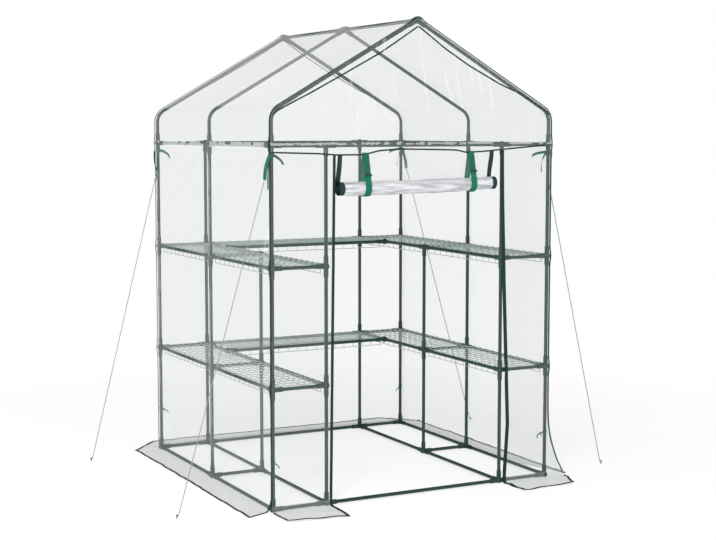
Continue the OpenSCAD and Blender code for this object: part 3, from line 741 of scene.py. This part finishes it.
# Straps: each is a band that comes down behind the door's sheet, touches the roll at its tangent,
# goes round below it and up the front to the seam, with a slide buckle on the front run
strapShape = dict(width=0.030, thick=0.0016, gap=0.0025, clear=0.0012, turnSteps=60, steps=96, lap=0.006,
                  overRoll=1.06, buckleDown=0.6, buckle=(0.035, 0.010, 0.005), buckleSteps=12, shift=0.007)
strapLow, strapHigh = span("door_straps")
strapInset = strapShape["width"] / 2
strapX = dict(left=strapLow[0] + strapInset + strapShape["shift"], right=strapHigh[0] - strapInset)
for side, x0 in strapX.items():
    r = rollRadius * strapShape["overRoll"] + strapShape["clear"]
    rollMid = np.interp(x0, rollX, centreZ)
    h = seamTop(x0) + strapShape["lap"] - rollMid
    first = math.atan2(h, strapShape["gap"]) - math.acos(r / math.hypot(strapShape["gap"], h))
    turn = np.linspace(first, -np.pi - first, strapShape["turnSteps"])
    loop = np.stack([r * np.cos(turn), r * np.sin(turn)], -1)
    loop = np.concatenate([[[strapShape["gap"], h]], loop, [[-strapShape["gap"], h]]])
    path = resample(loop, strapShape["steps"])
    path = np.stack([x0 + 0 * path[:, 0], rollY + path[:, 0], rollMid + path[:, 1]], -1)
    # Above the buckle the webbing is darker
    split = h * (1 - strapShape["buckleDown"])
    above = (path[:, 2] - rollMid > split).astype(int)
    strap = bandPiece("strap_" + side, path, [1, 0, 0], strapShape["width"], strapShape["thick"],
                      [webbing, darkWebbing], above)
    if side == "left":
        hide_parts("door_straps")
    # The front run is the path's last stretch
    front = path[path[:, 1] < rollY][::-1]
    at = front[np.argmax(front[:, 2] - rollMid < split)]
    length, tall, thick = strapShape["buckle"]
    bar = at + np.outer(np.linspace(-0.5, 0.5, strapShape["buckleSteps"]), [length, 0, 0])
    bar = bar - [0, (strapShape["thick"] + thick) / 2, 0]
    bandPiece("buckle_" + side, bar, [0, 0, 1], tall, thick, [moulding])
print("straps made")

# Guy ropes: three strands that wind round each other, from a ribbon at the eave to a peg
ropeShape = dict(strand=0.0011, lay=0.00115, pitch=0.018, turnSteps=7, sides=5, sharp=70, clear=0.006,
                 topDrop=0.002, fromPost=0.030, pegRadius=0.0055, upPeg=0.8)
# The ribbon hangs from the corner's tape, its face turned to the corner's diagonal
ribbon = dict(width=0.016, thick=0.0012, tall=0.10, steps=30, offWall=0.0025, offFront=0.0015, lap=0.004,
              bow=0.006, wideX=0.6, wideY=-0.8)
pegHigh = span("ground_pegs")[1]
ropeHigh = span("guy_ropes")[1]
strands = []
ribbons = []
for sx, sy in ((-1, -1), (-1, 1), (1, -1), (1, 1)):
    top = np.array([sx * (filmX + ropeShape["clear"]), sy * (postY - ropeShape["fromPost"]),
                    ropeHigh[2] - ropeShape["topDrop"]])
    foot = np.array([sx * (ropeHigh[0] - ropeShape["strand"]), sy * (pegHigh[1] - ropeShape["pegRadius"]),
                     pegHigh[2] * ropeShape["upPeg"]])
    turns = np.linalg.norm(foot - top) / ropeShape["pitch"]
    t = np.linspace(0, 1, int(turns * ropeShape["turnSteps"]))[:, None]
    e1 = unit(np.cross(foot - top, [0.0, 1.0, 0.0]))
    e2 = unit(np.cross(foot - top, e1))
    for phase in (0, 2 * np.pi / 3, 4 * np.pi / 3):
        spin = 2 * np.pi * turns * t + phase
        strands.append(top + (foot - top) * t + ropeShape["lay"] * (np.cos(spin) * e1 + np.sin(spin) * e2))
    k = np.linspace(0, 1, ribbon["steps"])[:, None]
    start = np.array([sx * (filmX + ribbon["offWall"]), sy * (filmY + ribbon["offFront"]),
                      top[2] + ribbon["tall"]])
    path = start * (1 - k) + (top - [0, 0, ribbon["lap"]]) * k
    path = path + np.array([sx * ribbon["bow"], 0, 0]) * np.sin(np.pi * k)
    ribbons.append(bandRings(path, [sx * ribbon["wideX"], sy * ribbon["wideY"], 0.0], ribbon["width"],
                             ribbon["thick"]))
stepCount = min(len(strand) for strand in strands)
strandPaths = np.stack([resample(strand, stepCount) for strand in strands])
ropeRings = roundRings(strandPaths, ropeShape["strand"], ropeShape["sides"], [0, 1, 0])
ropes = sweepPiece("guy_rope_strands", ropeRings, [cordFibre], ropeShape["sharp"])
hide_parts("guy_ropes")
ribbonPiece = sweepPiece("rope_ribbons", np.stack(ribbons), [darkWebbing], bandSharp)
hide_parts("rope_tabs")

# Ribbon ties: a band wound round the post, and tails that curve down to the given offsets
tieShape = dict(thick=0.0011, loops=2.0, rise=0.012, steps=40, evenFall=0.6, taper=0.3,
                tailWide=(0.5, 0.4, 1.0))
eaveTie = dict(level=eaveZ - 0.035, width=0.014,
               leftTails=[(0.058, 0.010, -0.046), (-0.012, 0.004, -0.150), (0.030, 0.016, -0.014)],
               rightTails=[(-0.080, 0.010, -0.024), (-0.030, 0.005, -0.095), (0.012, 0.014, -0.030)])
footTie = dict(level=0.215, width=0.006,
               leftTails=[(0.034, 0.006, -0.030), (0.010, 0.010, -0.020)],
               rightTails=[(-0.036, 0.006, -0.030), (-0.010, 0.010, -0.020)])


def cornerTies(name, tie, material):
    rings = []
    turn = np.linspace(0, 2 * np.pi * tieShape["loops"], tieShape["steps"])
    k = np.linspace(0, 1, tieShape["steps"])
    r = tubeRadius + tieShape["thick"]
    wound = np.stack([r * np.cos(turn), r * np.sin(turn), tieShape["rise"] * (turn / turn[-1] - 0.5)], -1)
    fall = tieShape["evenFall"] * k + (1 - tieShape["evenFall"]) * k ** 2
    tailWidth = tie["width"] * (1 - tieShape["taper"] * k)
    for sx, tails in ((-1, tie["leftTails"]), (1, tie["rightTails"])):
        for sy in (-1, 1):
            centre = np.array([sx * postX, sy * postY, tie["level"]])
            rings.append(bandRings(centre + wound, [0, 0, 1], tie["width"], tieShape["thick"]))
            for dx, dy, dz in tails:
                inwards = -sy * (r + dy * np.sin(np.pi * k))
                tail = np.stack([dx * np.sin(k * np.pi / 2), inwards, dz * fall], -1)
                rings.append(bandRings(centre + tail, tieShape["tailWide"], tailWidth, tieShape["thick"]))
    sweepPiece(name, np.stack(rings), [material], bandSharp)


cornerTies("eave_ties", eaveTie, webbing)
cornerTies("foot_ties", footTie, darkWebbing)
print("ropes and ties made")

# Wire shelves: round wires on the rails, the short ones above, the long ones below and along the lips
wires = dict(crossRadius=0.0014, longRadius=0.0016, crossPitch=0.054, longPitch=0.032, sides=8, sharp=60,
             lip=0.040, weld=0.3, overRail=0.5, pastRail=0.0183, end=0.0015, stop=0.052, backLap=0.004)


def bars(starts, ends, radius, reference):
    return roundRings(np.stack([starts, ends], 1), radius, wires["sides"], reference)


# Points by their place along the shelf's long axis, across it and in height
def spots(longAxis, alongAt, acrossAt, z):
    points = np.zeros(np.broadcast(alongAt, acrossAt).shape + (3,))
    points[:, longAxis] = alongAt
    points[:, 1 - longAxis] = acrossAt
    points[:, 2] = z
    return points


# The short wires' ends: at the shelf's full width, or short of the rail near a connector
def wireEnds(at, connectors, full, short):
    near = np.min(np.abs(at[:, None] - np.array(connectors)[None, :]), 1) < wires["stop"]
    return np.where(near, short, full)


# One shelf's wires at even pitches, and those of the lips that hang from its outermost long wires
def shelfWires(low, high, longAxis, connectorsLow, connectorsHigh):
    across = 1 - longAxis
    zTop = high[2] - wires["crossRadius"]
    zLong = zTop - 2 * wires["crossRadius"] * (1 - wires["weld"])
    zLip = zTop - wires["lip"]
    edge = wires["overRail"] * tubeRadius + wires["pastRail"]
    count = round((high[longAxis] - low[longAxis]) / wires["crossPitch"])
    at = np.linspace(low[longAxis] + 2 * wires["end"], high[longAxis] - 2 * wires["end"], count + 1)
    starts = wireEnds(at, connectorsLow, low[across], low[across] + edge)
    ends = wireEnds(at, connectorsHigh, high[across], high[across] - edge)
    short = bars(spots(longAxis, at, starts, zTop), spots(longAxis, at, ends, zTop),
                 wires["crossRadius"], [0, 0, 1])
    longCount = round((high[across] - low[across] - 2 * edge) / wires["longPitch"])
    where = np.linspace(low[across] + edge, high[across] - edge, longCount + 1)
    long = bars(spots(longAxis, low[longAxis] + wires["end"], where, zLong),
                spots(longAxis, high[longAxis] - wires["end"], where, zLong), wires["longRadius"], [0, 0, 1])
    lips = []
    for outer in where[[0, -1]]:
        rail = spots(longAxis, np.array([low[longAxis], high[longAxis]]), outer, zLip)
        lips.append(bars(rail[:1], rail[1:], wires["longRadius"], [0, 0, 1]))
        lips.append(bars(spots(longAxis, at, outer, zLip), spots(longAxis, at, outer, zLong),
                         wires["crossRadius"], [1, 0, 0]))
    return np.concatenate([short, long]), np.concatenate(lips)


def wirePiece(name, rings, node):
    piece = sweepPiece(name, rings, [wireCoat], wires["sharp"])
    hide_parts(node)


for level in ("lower", "upper"):
    lipRings = []
    backLow, backHigh = span(level + "_back_shelf")
    for side in ("left", "right"):
        low, high = span(level + "_" + side + "_shelves")
        half = postY / 2
        reachY = -low[1] - half
        rings = []
        for centre in (-half, half):
            shelfLow = np.array([low[0], centre - reachY, low[2]])
            shelfHigh = np.array([high[0], centre + reachY, high[2]])
            outer = [centre - half, centre + half]
            inner = outer + [backLow[1] + wires["backLap"]]
            connectors = (outer, inner) if side == "left" else (inner, outer)
            made, lips = shelfWires(shelfLow, shelfHigh, 1, *connectors)
            rings.append(made)
            lipRings.append(lips)
        wirePiece(level + "_" + side + "_wires", np.concatenate(rings), level + "_" + side + "_shelves")
    made, lips = shelfWires(backLow, backHigh, 0, [-innerX, innerX], [-innerX, innerX])
    lipRings.append(lips)
    wirePiece(level + "_back_wires", made, level + "_back_shelf")
    wirePiece(level + "_lip_wires", np.concatenate(lipRings), level + "_shelf_lips")
print("shelves made")

# Stage: a pale floor that fades into a white surround, so the ground has no horizon
white = (1, 1, 1, 1)
floorShape = dict(half=60.0, shade=(0.9, 0.9, 0.9, 1), fadeFrom=1.3, fadeTo=3.2, near=0.62)
floorMesh = bpy.data.meshes.new("floor")
h = floorShape["half"]
floorMesh.from_pydata([[-h, -h, 0], [h, -h, 0], [h, h, 0], [-h, h, 0]], [], [[0, 1, 2, 3]])
floor = bpy.data.objects.new("floor", floorMesh)
scene.collection.objects.link(floor)
floorMaterial, tree, base, place = startMaterial("studio_floor")
setInputs(tree, base, {"Base Color": floorShape["shade"], "Roughness": 1.0, "Specular IOR Level": 0.0})
glow = addNode(tree, "Emission", {"Color": white, "Strength": 1.0})
seen = addNode(tree, "LightPath").outputs["Is Camera Ray"]
away = addNode(tree, "VectorMath", {0: place}, {"operation": "LENGTH"}).outputs["Value"]
fade = addNode(tree, "MapRange", {"Value": away, "From Min": floorShape["fadeFrom"],
                                            "From Max": floorShape["fadeTo"], "To Min": floorShape["near"],
                                            "To Max": 1.0}).outputs[0]
share = addNode(tree, "Math", {0: seen, 1: fade}, {"operation": "MULTIPLY"})
mixed = addNode(tree, "MixShader", {0: share.outputs[0], 1: base.outputs[0], 2: glow.outputs[0]})
setInputs(tree, tree.nodes["Material Output"], {"Surface": mixed.outputs[0]})
floorMesh.materials.append(floorMaterial)

# The surround is white to the camera, dimmer as a light and dim in reflections
surround = dict(lit=0.62, mirrored=0.25, seen=1.0)
world = bpy.data.worlds.new("studio")
scene.world = world
world.use_nodes = True
tree = world.node_tree
dim = tree.nodes["Background"]
setInputs(tree, dim, {"Color": white, "Strength": surround["lit"]})
bright = addNode(tree, "Background", {"Color": white, "Strength": surround["seen"]})
mirrored = addNode(tree, "Background", {"Color": white, "Strength": surround["mirrored"]})
rays = addNode(tree, "LightPath").outputs
soft = addNode(tree, "MixShader",
               {0: rays["Is Glossy Ray"], 1: dim.outputs[0], 2: mirrored.outputs[0]})
mixed = addNode(tree, "MixShader",
                {0: rays["Is Camera Ray"], 1: soft.outputs[0], 2: bright.outputs[0]})
setInputs(tree, tree.nodes["World Output"], {"Surface": mixed.outputs[0]})

# Soft boxes: place, the height of the middle they aim at, width and height in metres, power in watts
softBoxes = {"key_softbox": dict(place=(-3.5, -4.5, 4.2), aimZ=1.0, size=(1.2, 1.2), power=200),
             "front_softbox": dict(place=(-4.2, -7.2, 2.4), aimZ=1.1, size=(3.2, 3.0), power=170),
             "fill_softbox": dict(place=(4.5, -3.0, 3.0), aimZ=1.0, size=(2.0, 2.0), power=70),
             "strip_left": dict(place=(-5.0, 1.0, 2.6), aimZ=1.2, size=(0.5, 2.6), power=120)}
for name, box in softBoxes.items():
    lamp = bpy.data.lights.new(name, "AREA")
    lamp.shape = "RECTANGLE"
    lamp.size, lamp.size_y = box["size"]
    lamp.energy = box["power"]
    holder = bpy.data.objects.new(name, lamp)
    scene.collection.objects.link(holder)
    aim = np.array([0, 0, box["aimZ"]]) - np.array(box["place"])
    holder.location = box["place"]
    holder.rotation_euler = (math.atan2(math.hypot(aim[0], aim[1]), -aim[2]), 0, math.atan2(-aim[0], aim[1]))

viewPoint = dict(place=(-3.2189, -6.3444, 1.6469), yaw=0.4786, pitch=0.0964, lens=73.25, sensor=36)
camera = bpy.data.objects.new("camera", bpy.data.cameras.new("camera"))
scene.collection.objects.link(camera)
camera.location = viewPoint["place"]
camera.rotation_euler = (math.pi / 2 - viewPoint["pitch"], 0, -viewPoint["yaw"])
camera.data.sensor_fit = "HORIZONTAL"
camera.data.sensor_width = viewPoint["sensor"]
camera.data.lens = viewPoint["lens"]
scene.camera = camera
scene.view_settings.view_transform = "Standard"
print("stage, lights and camera made")
